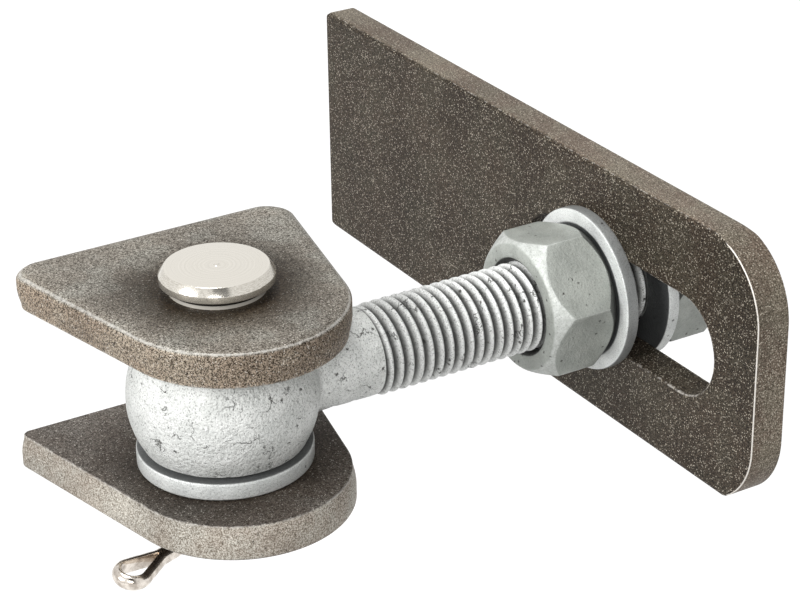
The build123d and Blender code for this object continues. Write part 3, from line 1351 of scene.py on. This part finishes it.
@dataclass
class HexNut:
    """A galvanised hexagon nut, chamfered at both ends.

    Attributes:
        side: Whether it is the front or the rear nut.
        across_flats: Its width across flats.
        corner_radius: Where its corners are worn round.
        face_radius: The flat part of its end faces.
        bore: The bore's radius.
        countersink: How far the countersink widens the bore.
        chamfer: The slope of its end chamfers, in degrees.
        turn: How far a flat is turned from +X towards -Z, in degrees.
        land: How much of its end face round the countersink stays plain.
        softened: The rounding of its edges.
        worn_frame: How far in from their edges its flats are worn.
    """

    side: Side
    across_flats: float = 30.0
    corner_radius: float = 17.45
    face_radius: float = 14.25
    bore: float = 10.06
    countersink: float = 1.2
    chamfer: float = 50.0
    turn: float = 20.0
    land: float = 0.9
    softened: float = 0.35
    worn_frame: float = 1.2

    def build(self) -> None:
        """Builds the nut and dresses it."""
        node = f"{self.side.value}_nut"
        low, high = node_box(node)
        solid = Solid()
        drop = (self.corner_radius - self.face_radius) * math.tan(math.radians(self.chamfer))
        mouth = self.bore + self.countersink
        profile = [
            (self.bore, low.y + self.countersink), (mouth, low.y), (mouth + self.land, low.y),
            (self.face_radius, low.y), (self.corner_radius, low.y + drop),
            (self.corner_radius, high.y - drop), (self.face_radius, high.y),
            (mouth + self.land, high.y), (mouth, high.y), (self.bore, high.y - self.countersink),
        ]
        corners = solid.chain([(r, y, 0) for r, y in profile])
        solid.join([corners[-1], corners[0]])
        solid.revolve(Y_AXIS, 96)
        for flat in range(6):
            angle = math.radians(60 * flat)
            normal = Vector((math.cos(angle), 0, math.sin(angle)))
            solid.join(solid.cut(normal * self.across_flats / 2, normal))
        solid.weld(0.02)
        solid.soften(self.softened)
        solid.turn(Matrix.Rotation(math.radians(self.turn), 4, "Y"))
        solid.frame_faces(100.0, self.worn_frame)
        solid.mark_wear()
        # Painted shade on the chamfer that meets the washer and in the countersink; the outer chamfer gets a
        # painted highlight.
        inward = 1 if self.side is Side.FRONT else -1
        for vert in solid.bm.verts:
            vert[solid.wear] *= 0.5
            radius = math.hypot(vert.co.x, vert.co.z)
            chamfered = 0.3 < abs(vert.normal.y) < 0.9 and radius > self.face_radius - 0.3
            if chamfered and vert.normal.y * inward > 0:
                vert[solid.painted_shade], vert[solid.wear] = 0.8, 0.0
            elif chamfered:
                vert[solid.wear] = 0.5
            elif radius < mouth - 0.1:
                vert[solid.painted_shade], vert[solid.wear] = 1.0, 0.0
        solid.piece(f"{self.side.value}_hex", node, node, Slot.NUT)


@dataclass
class ClevisPin:
    """The turned pin: a chamfered head with a fine groove over a collar, and a plain shank.

    Attributes:
        radius: The shank's radius.
        end_chamfer: The length of the chamfer at its end.
        collar: The collar's radius and height.
        groove: The groove's depth and width.
        band: The height of the band over the groove.
        chamfer: The head chamfer's width.
        pip: The pip's radius and height.
        shade: Between which depths under the collar's top its painted shade under the head begins.
        edge: The rounding of its edges.
        rim: The rounding of the head's upper edge.
    """

    radius: float = 8.0
    end_chamfer: float = 2.0
    collar: tuple[float, float] = (10.1, 1.65)
    groove: tuple[float, float] = (0.9, 0.4)
    band: float = 1.5
    chamfer: float = 1.2
    pip: tuple[float, float] = (0.9, 0.12)
    shade: tuple[float, float] = (0.95, 0.85)
    edge: float = 0.12
    rim: float = 0.14

    def build(self) -> None:
        """Builds the pin and dresses it."""
        low, high = node_box("clevis_pin")
        head = (high.x - low.x) / 2
        _, ear_top = node_box("upper_ear")
        seat = ear_top.z
        collar_top = seat + self.collar[1]
        band_bottom = collar_top + self.groove[1]
        band_top = band_bottom + self.band
        top = high.z - self.pip[1]
        solid = Solid()
        points = [
            (0, low.z), (self.radius - self.end_chamfer / 2, low.z), (self.radius, low.z + self.end_chamfer),
            (self.radius, seat), (self.collar[0], seat), (self.collar[0], collar_top - self.shade[0]),
            (self.collar[0], collar_top - self.shade[1]), (self.collar[0], collar_top),
            (head - self.groove[0], collar_top), (head - self.groove[0], band_bottom),
            (head, band_bottom), (head, band_top), (head - self.chamfer, top),
            (self.pip[0], top), (self.pip[0] * 0.7, high.z), (0, high.z),
        ]
        line = solid.chain([(r, 0, z) for r, z in points])
        solid.round_corners([line[1], line[2], line[10], line[11]], self.edge, 2)
        rim = [v for v in line if v.is_valid and abs(v.co.x - head + self.chamfer) < 1e-3]
        solid.round_corners(rim, self.rim, 3)
        solid.revolve(Z_AXIS, 128)
        # Painted shade in the groove and on the collar's top under the head; the band, chamfer and pip carry
        # the darker streaks of painted dark reflection; the collar below is marked as worn.
        shaded = collar_top - self.shade[1] - 0.01
        for vert in solid.bm.verts:
            inside = math.hypot(vert.co.x, vert.co.y) < head - self.groove[0] + 0.01
            if inside and shaded < vert.co.z < band_bottom + 0.01:
                vert[solid.painted_shade] = 1.0
            elif band_bottom + 0.01 < vert.co.z < top - 0.05:
                vert[solid.wall] = 1.0
            elif vert.co.z > top + 0.01:
                vert[solid.wall] = 0.7
            elif seat - 0.01 < vert.co.z < shaded:
                vert[solid.wear] = 1.0
        solid.piece("turned_pin", "pin", "clevis_pin", Slot.PIN, sharp=20.0)


@dataclass
class SplitPin:
    """The split pin: half-round wire bent into a loop, its flat faces together along the legs.

    Attributes:
        wire: The wire's radius.
        edge: The rounding of its two edges.
        gap: The gap between the legs.
        level: The height of the legs.
        direction: Where the loop points, in degrees from +X.
        tilt: How far the loop is turned about its legs, in degrees.
        junction: Where the legs part.
        length: The first leg's length.
        step: How much shorter the second leg is.
        bend: The radius at the parting.
        flare: How far the wire turns out there, in degrees.
        loop: The loop's inner radius.
    """

    wire: float = 1.75
    edge: float = 0.18
    gap: float = 0.16
    level: float = -29.8
    direction: float = -70.5
    tilt: float = -11.5
    junction: float = 20.6
    length: float = 40.0
    step: float = 2.5
    bend: float = 3.0
    flare: float = 17.5
    loop: float = 2.4

    def stations(self) -> list[Matrix]:
        """Gives the section's places along the wire, in the loop's own plane.

        Returns:
            A matrix for each place, with +X along the wire.
        """
        flare = math.radians(self.flare)
        rise = self.loop * math.cos(flare) - self.gap / 2 - self.bend * (1 - math.cos(flare))
        straight = rise / math.sin(flare)
        runs = [
            (self.length, 0.0, 8), (self.bend * flare, flare, 4), (straight, 0.0, 4),
            (self.loop * (math.pi + 2 * flare), -math.pi - 2 * flare, 28),
            (straight, 0.0, 4), (self.bend * flare, flare, 4), (self.length - self.step, 0.0, 8),
        ]
        place = Matrix.Translation((self.junction - self.length, self.gap / 2, 0))
        made = [place.copy()]
        for length, turn, steps in runs:
            for _ in range(steps):
                half = Matrix.Rotation(turn / steps / 2, 4, "Z")
                chord = length / steps
                if turn:
                    chord = 2 * (length / abs(turn)) * math.sin(abs(turn) / steps / 2)
                place = place @ half @ Matrix.Translation((chord, 0, 0)) @ half
                made.append(place.copy())
        return made

    def build(self) -> None:
        """Builds the split pin and dresses it."""
        solid = Solid()
        start = solid.vert((0, 0, -self.wire))
        section = solid.arc(start, (0, 0, 0), X_AXIS, 180.0, 14)
        solid.join([section[-1], section[0]])
        solid.round_corners([section[0], section[-1]], self.edge, 2)
        edges = solid.bm.edges[:]
        solid.join(edges)
        stations = self.stations()
        solid.turn(stations[0])
        for before, after in zip(stations, stations[1:]):
            edges, verts = solid.pull(edges)
            bmesh.ops.transform(solid.bm, matrix=after @ before.inverted(), verts=verts)
        solid.join(edges)
        turned = Matrix.Rotation(math.radians(self.direction), 4, "Z")
        tilted = Matrix.Rotation(math.radians(self.tilt), 4, "X")
        solid.turn(Matrix.Translation((0, 0, self.level)) @ turned @ tilted)
        solid.weld()
        solid.piece("split_wire", "pin", "split_pin", Slot.WIRE)


@dataclass
class EyeBolt:
    """The forged eye bolt: a flattened ball, a plain neck and a coarse right-hand thread.

    Attributes:
        ball: The eye's radius.
        hole: The pin hole's radius.
        rim: The height of the chamfer between the ball and its flats.
        neck: The neck's radius.
        fillet: The fillet between the ball and the neck.
        crest: The thread's outer radius.
        pitch: The thread's pitch.
        depth: The thread's depth.
        start: Where the thread starts.
        end_chamfer: The chamfer at the bolt's end.
        lip: The width of the worn lip round the hole.
        lump_depth: How deep the forging's lumps are.
        lump_size: How wide they are.
        steps: The thread's steps in a turn.
    """

    ball: float = 20.0
    hole: float = 8.08
    rim: float = 1.1
    neck: float = 9.5
    fillet: float = 2.5
    crest: float = 10.0
    pitch: float = 2.5
    depth: float = 1.45
    start: float = 33.4
    end_chamfer: float = 1.6
    lip: float = 0.5
    lump_depth: float = 0.10
    lump_size: float = 6.0
    steps: int = 60

    def build(self) -> None:
        """Builds the bolt and dresses it."""
        _, high = node_box("eye_bolt")
        solid = Solid()
        self.forge(solid)
        self.flatten(solid, high.z)
        solid.rumple(self.lump_depth, self.lump_size)
        neck_end = self.open_loop(solid, self.start)
        self.cut_thread(solid, high.y)
        solid.bridge(neck_end, self.open_loop(solid, self.start))
        solid.weld()
        solid.piece("forged_bolt", "bolt", "eye_bolt", Slot.FORGING, sharp=45.0)

    def open_loop(self, solid: Solid, y: float) -> list[bmesh.types.BMEdge]:
        """Finds an open loop of edges.

        Args:
            solid: Where it is.
            y: About where it lies along the bolt.

        Returns:
            The edges.
        """
        return [
            e for e in solid.bm.edges
            if len(e.link_faces) == 1 and all(abs(v.co.y - y) < 0.3 for v in e.verts) and not e.tag
        ]

    def forge(self, solid: Solid) -> None:
        """Spins the ball, the fillet and the neck about the bolt's axis.

        Args:
            solid: What they are built in.
        """
        out = self.neck + self.fillet
        along = math.sqrt((self.ball + self.fillet) ** 2 - out**2)
        meet = math.degrees(math.atan2(along, out))
        pole = solid.vert((0, -self.ball, 0))
        ball = solid.arc(pole, (0, 0, 0), Z_AXIS, 90 + meet, 56)
        fillet = solid.arc(ball[-1], (out, along, 0), Z_AXIS, -meet, 8)
        length = self.start - fillet[-1].co.y
        # The die's lines round the neck: the share of its length, and how far they stand out
        lines = [
            (0.15, -0.02), (0.3, -0.16), (0.36, -0.02), (0.55, 0.03), (0.62, -0.1), (0.68, 0.0), (0.9, 0.05),
            (1.0, 0.0),
        ]
        last = fillet[-1]
        for share, out_by in lines:
            point = solid.vert((self.neck + out_by, fillet[-1].co.y + length * share, 0))
            solid.join([last, point])
            last = point
        solid.revolve(Y_AXIS, self.steps * 2)

    def flatten(self, solid: Solid, top: float) -> None:
        """Cuts the ball flat above and below, rounds the rims and bores the eye.

        Args:
            solid: The forged shape.
            top: The height of the upper flat.
        """
        tunnel = []
        for sign in (1, -1):
            normal = Vector((0, 0, sign))
            rim = solid.cut(normal * (top - self.rim), normal)
            radius = math.sqrt(self.ball**2 - (top - self.rim) ** 2)
            # The rim's profile: how far in, and its share of the rise to the flat
            for inset, rise in ((0.12, 0.3), (0.4, 0.5), (1.3, 0.88), (1.7, 0.97), (2.2, 1.0)):
                rim, verts = solid.pull(rim)
                for vert in verts:
                    flat = Vector((vert.co.x, vert.co.y)).normalized() * (radius - inset)
                    vert.co = (flat.x, flat.y, sign * (top - self.rim * (1 - rise)))
            level = rim[0].verts[0].co.z
            circle = Outline([Corner(0, 0, self.hole, 0, 360)], step=5.0, hole=True)
            lip = [
                Ring(self.lip + 0.6, level), Ring(self.lip, level, 0.5),
                Ring(0, level - sign * self.lip, 0.5),
            ]
            outer, inner = circle.wall(solid, lip)
            solid.fill(rim, outer)
            tunnel.append(inner)
        solid.bridge(*tunnel)

    def cut_thread(self, solid: Solid, end: float) -> None:
        """Spins the thread's profile along the bolt, and closes it at the bolt's end.

        Args:
            solid: The shape that it is added to.
            end: Where the bolt ends.
        """
        thread = Solid()
        root = self.crest - self.depth
        crest_half, root_half = self.pitch * 0.09, self.pitch * 0.10
        base = self.start - 1.5 * self.pitch
        middle = base + self.pitch / 2 + crest_half
        crest_edge, root_edge = self.crest - 0.12, root + 0.1
        points = [
            (crest_edge, base), (self.crest, base + crest_half), (crest_edge, base + 2 * crest_half),
            (root_edge, middle - root_half), (root, middle), (root_edge, middle + root_half),
            (crest_edge, base + self.pitch),
        ]
        thread.chain([(r, y, 0) for r, y in points])
        turns = math.ceil((end - base) / self.pitch) + 1
        bmesh.ops.spin(
            thread.bm, geom=thread.bm.verts[:] + thread.bm.edges[:], cent=(0, 0, 0), axis=Y_AXIS,
            dvec=Y_AXIS * self.pitch / self.steps, angle=math.tau * turns, steps=self.steps * turns,
            use_merge=False, use_duplicate=False,
        )
        thread.weld(1e-3)
        # Painted shade deeper in the grooves, and a painted highlight along the crests.
        for vert in thread.bm.verts:
            radius = math.hypot(vert.co.x, vert.co.z)
            vert[thread.painted_shade] = min(1.0, max(0.0, (self.crest - 0.65 - radius) / (self.depth - 0.65)))
            vert[thread.wear] = 1.0 if radius > self.crest - 0.3 else 0.0
            share = min(1.0, max(0.0, (vert.co.y - self.start) / (0.6 * self.pitch)))
            share = share * share * (3 - 2 * share)
            wanted = self.neck + (radius - self.neck) * share
            wanted = min(wanted, self.crest - self.end_chamfer + (end - vert.co.y))
            vert.co.x *= wanted / radius
            vert.co.z *= wanted / radius
        for y, facing in ((self.start + 0.02, -1), (end - 0.01, 1)):
            thread.cut((0, y, 0), (0, facing, 0), merge=1e-5)
        tip = [e for e in thread.bm.edges if len(e.link_faces) == 1 and e.verts[0].co.y > end - 1]
        thread.join(tip)
        mesh = bpy.data.meshes.new("thread")
        thread.bm.to_mesh(mesh)
        thread.bm.free()
        for edge in solid.bm.edges:
            edge.tag = len(edge.link_faces) == 1
        solid.bm.from_mesh(mesh)
        bpy.data.meshes.remove(mesh)


@dataclass
class SlottedPlate:
    """The flat bar: rolled long edges, one plain end, one rounded end, and a slot with round ends.

    Attributes:
        corner_radius: The rounded end's corners.
        plain_radius: The plain end's corners.
        slot_width: The slot's width.
        slot_length: The slot's length.
        end_wall: From the slot to the rounded end.
        crop_drop: How far the rounding of the end sits low, which leaves a corner at the bottom.
        roll: The long edges' rounding.
        crisp: How much of the rounding the cropped edges keep.
        lip: The width of the worn lip round the slot.
    """

    corner_radius: float = 17.3
    plain_radius: float = 1.8
    slot_width: float = 22.9
    slot_length: float = 70.0
    end_wall: float = 13.9
    crop_drop: float = 2.0
    roll: float = 1.2
    crisp: float = 0.2
    lip: float = 0.2

    def build(self) -> None:
        """Builds the plate and dresses it."""
        low, high = node_box("slotted_plate")
        half, thickness = (high.z - low.z) / 2, high.y - low.y
        big, small = self.corner_radius, self.plain_radius

        def share(at: Vector) -> float:
            """Gives the roll's share at a point: all on the long edges, little on the cropped ends."""
            depth = half - abs(at.y)
            return max(self.crisp, 1 - depth / self.roll)

        solid = Solid()
        kink = math.degrees(math.acos(1 - self.crop_drop / big))
        outline = Outline(
            [
                Corner(high.x - big, half - big, big, 0, 90),
                Corner(low.x + small, half - small, small, 90, 90),
                Corner(low.x + small, small - half, small, 180, 90),
                Corner(high.x - big, big - half - self.crop_drop, big, 270 + kink, 90 - kink),
            ],
            share=share,
        )
        roll = self.roll
        rings = rolled(roll, roll, 0, up=False) + rolled(roll, roll, thickness, up=True)
        near, far = outline.wall(solid, rings)
        # Painted highlight: a thin bright line along the cropped end's front edge; the other edges are marked
        # half as worn.
        for vert in solid.bm.verts:
            cropped = vert.co.x > high.x - big and abs(vert.co.y) < half - roll
            burr = thickness - roll * self.crisp * 0.95 < vert.co.z < thickness - 1e-4
            vert[solid.wear] = 1.0 if cropped and burr else vert[solid.wear] * 0.5
        end = self.slot_width / 2
        slot_right = high.x - self.end_wall - end
        slot_left = slot_right - self.slot_length + self.slot_width
        slot = Outline([Corner(slot_right, 0, end, -90, 180), Corner(slot_left, 0, end, 90, 180)], hole=True)
        slot_near, slot_far = slot.wall(solid, lipped(self.lip, thickness))
        solid.fill(near, slot_near)
        solid.fill(far, slot_far)
        upright = Matrix.Rotation(math.radians(90), 4, "X")
        solid.turn(Matrix.Translation((0, high.y, 0)) @ upright)
        solid.weld()
        solid.mark_walls(Y_AXIS)
        # Painted shade inside the slot: its walls take the face's darker colours, and its left end keeps no
        # worn edge.
        for vert in solid.bm.verts:
            if abs(vert.co.z) < end + 1 and slot_left - end - 1 < vert.co.x < slot_right + end + 1:
                vert[solid.wall] = 0.0
                vert[solid.wear] *= 0.0 if vert.co.x < slot_left + 5 else 1.0
        solid.piece("slotted_bar", "plate", "slotted_plate", Slot.PLATE)


# Studio


@dataclass(frozen=True)
class Lamp:
    """A soft area lamp.

    Attributes:
        name: Its name.
        at: Its place, in metres.
        width: Its width, in metres.
        power: Its power, in watts.
    """

    name: str
    at: tuple[float, float, float]
    width: float
    power: float

    def build(self) -> None:
        """Hangs the lamp and points it at the hinge."""
        data = bpy.data.lights.new(self.name, "AREA")
        data.shape = "DISK"
        data.size = self.width
        data.energy = self.power
        lamp = bpy.data.objects.new(self.name, data)
        lamp.location = self.at
        aim = Vector((0, 0.05, 0)) - Vector(self.at)
        lamp.rotation_euler = aim.to_track_quat("-Z", "Y").to_euler()
        bpy.context.scene.collection.objects.link(lamp)


def stage_sheet(
    name: str, size: tuple[float, float], place: Matrix, shader: Callable[[Graph], Socket]
) -> bpy.types.Object:
    """Adds a flat piece of the stage.

    Args:
        name: Its name.
        size: Its two sides, in metres.
        place: Where it goes.
        shader: What adds its shader to its material's tree.

    Returns:
        The object.
    """
    bm = bmesh.new()
    bmesh.ops.create_grid(bm, x_segments=1, y_segments=1, size=0.5)
    bmesh.ops.scale(bm, vec=(*size, 1), verts=bm.verts)
    bmesh.ops.transform(bm, matrix=place, verts=bm.verts)
    mesh = bpy.data.meshes.new(name)
    bm.to_mesh(mesh)
    bm.free()
    material = bpy.data.materials.new(name)
    graph = Graph.cleared(material)
    graph.surface(shader(graph))
    mesh.materials.append(material)
    sheet = bpy.data.objects.new(name, mesh)
    bpy.context.scene.collection.objects.link(sheet)
    return sheet


@dataclass(frozen=True)
class Card:
    """A black card that only reflections see, which gives bright metal its dark bands.

    Attributes:
        name: Its name.
        at: Its place, in metres.
        width: Its width, in metres.
        height: Its height, in metres.
    """

    name: str
    at: tuple[float, float, float]
    width: float
    height: float

    def build(self) -> None:
        """Stands the card and turns it to the hinge."""
        aim = (-Vector(self.at)).to_track_quat("Z", "Y").to_matrix().to_4x4()
        place = Matrix.Translation(self.at) @ aim
        card = stage_sheet(self.name, (self.width, self.height), place, self.matt)
        card.visible_camera = False
        card.visible_diffuse = False
        card.visible_shadow = False

    @staticmethod
    def matt(graph: Graph) -> Socket:
        """Adds the card's matt black."""
        return graph.node("ShaderNodeBsdfDiffuse", {"Color": (0.02, 0.02, 0.02, 1.0)}).outputs[0]


@dataclass
class Studio:
    """The camera, the lamps, the white surround and the pale floor.

    Attributes:
        camera_at: The camera's place, in metres.
        camera_turn: Its rotation about X, Y and Z, in degrees.
        lens: Its focal length, in millimetres on a 36 mm wide sensor.
        floor_z: The floor's height, in metres.
        floor_width: Its width, in metres.
        surround: How bright the surround lights the hinge.
        lamps: The lamps.
        card: The black card.
    """

    camera_at: tuple[float, float, float] = (0.404594, -0.199175, 0.241135)
    camera_turn: tuple[float, float, float] = (63.805, 0.7231, 58.7748)
    lens: float = 111.6956
    floor_z: float = -0.14
    floor_width: float = 12.0
    surround: float = 0.26
    lamps: tuple[Lamp, ...] = (
        Lamp("key lamp", (0.05, -0.9, 0.5), 0.45, 7.0),
        Lamp("front lamp", (0.8, -0.5, 0.5), 0.4, 4.8),
        Lamp("top lamp", (-0.1, -0.1, 0.9), 0.4, 3.4),
    )
    card: Card = Card("black card", (0.9, -0.3, 0.8), 0.55, 1.5)

    def build(self) -> None:
        """Sets the stage."""
        scene = bpy.context.scene
        scene.view_settings.view_transform = "Standard"
        data = bpy.data.cameras.new("camera")
        data.sensor_width = 36.0
        data.lens = self.lens
        data.clip_start = 0.01
        camera = bpy.data.objects.new("camera", data)
        camera.location = self.camera_at
        camera.rotation_euler = [math.radians(a) for a in self.camera_turn]
        scene.collection.objects.link(camera)
        scene.camera = camera
        for lamp in self.lamps:
            lamp.build()
        self.card.build()
        self.light_surround(scene)
        stage_sheet("floor", (self.floor_width,) * 2, Matrix.Translation((0, 0, self.floor_z)), self.pale)

    def seen(self, graph: Graph) -> Socket:
        """Gives 1 for rays from the camera, reflections and glass, and 0 for the rest.

        Args:
            graph: The tree that asks.

        Returns:
            The mask.
        """
        rays = graph.node("ShaderNodeLightPath").outputs
        seen = graph.maths("MAXIMUM", rays["Is Camera Ray"], rays["Is Glossy Ray"])
        return graph.maths("MAXIMUM", seen, rays["Is Transmission Ray"])

    def light_surround(self, scene: bpy.types.Scene) -> None:
        """Makes the surround white to look at, and softer as a light.

        Args:
            scene: The scene that it surrounds.
        """
        world = bpy.data.worlds.new("surround")
        graph = Graph.cleared(world)
        strength = graph.ramp(self.seen(graph), 0.0, 1.0, self.surround, 1.0)
        back = graph.node("ShaderNodeBackground", {"Color": WHITE, "Strength": strength})
        graph.surface(back.outputs[0], "ShaderNodeOutputWorld")
        scene.world = world

    def pale(self, graph: Graph) -> Socket:
        """Adds the floor's shader, which is white to look at, apart from the hinge's soft shadow.

        Args:
            graph: The floor material's tree.

        Returns:
            The shader.
        """
        off = graph.vector("LENGTH", graph.node("ShaderNodeTexCoord").outputs["Object"])
        white = graph.times(self.seen(graph), graph.ramp(off, 0.3, 1.0, 0.75, 1.0))
        matt = graph.node("ShaderNodeBsdfDiffuse", {"Color": (0.4, 0.4, 0.4, 1.0)})
        glow = graph.node("ShaderNodeEmission", {"Strength": white})
        return graph.node("ShaderNodeAddShader", {0: matt.outputs[0], 1: glow.outputs[0]}).outputs[0]


def main() -> None:
    """Builds the hinge's pieces in order, then the studio."""
    logging.basicConfig(level=logging.INFO, format="%(name)s: %(message)s")
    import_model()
    Ear(Side.UPPER, corner_radius=6.0, droop=1.0).build()
    Ear(Side.LOWER, corner_radius=2.4, droop=0.0).build()
    for side in (Side.UPPER, Side.LOWER):
        FlatWasher(
            f"{side.value}_thrust_washer", f"{side.value}_washer", Z_AXIS, 8.5, edge=0.6,
            face_shade=(0.85, 0.85), rim_shade=0.15,
        ).build()
    ClevisPin().build()
    SplitPin().build()
    EyeBolt().build()
    for side in (Side.FRONT, Side.REAR):
        HexNut(side).build()
    FlatWasher("front_washer", "clamp", Y_AXIS, 10.5, rim_shade=0.62, seat=15.15).build()
    FlatWasher("rear_washer", "clamp", Y_AXIS, 10.5, face_shade=(0.95, 0.0), rim_shade=0.1).build()
    SlottedPlate().build()
    Studio().build()


if __name__ == "__main__":
    main()
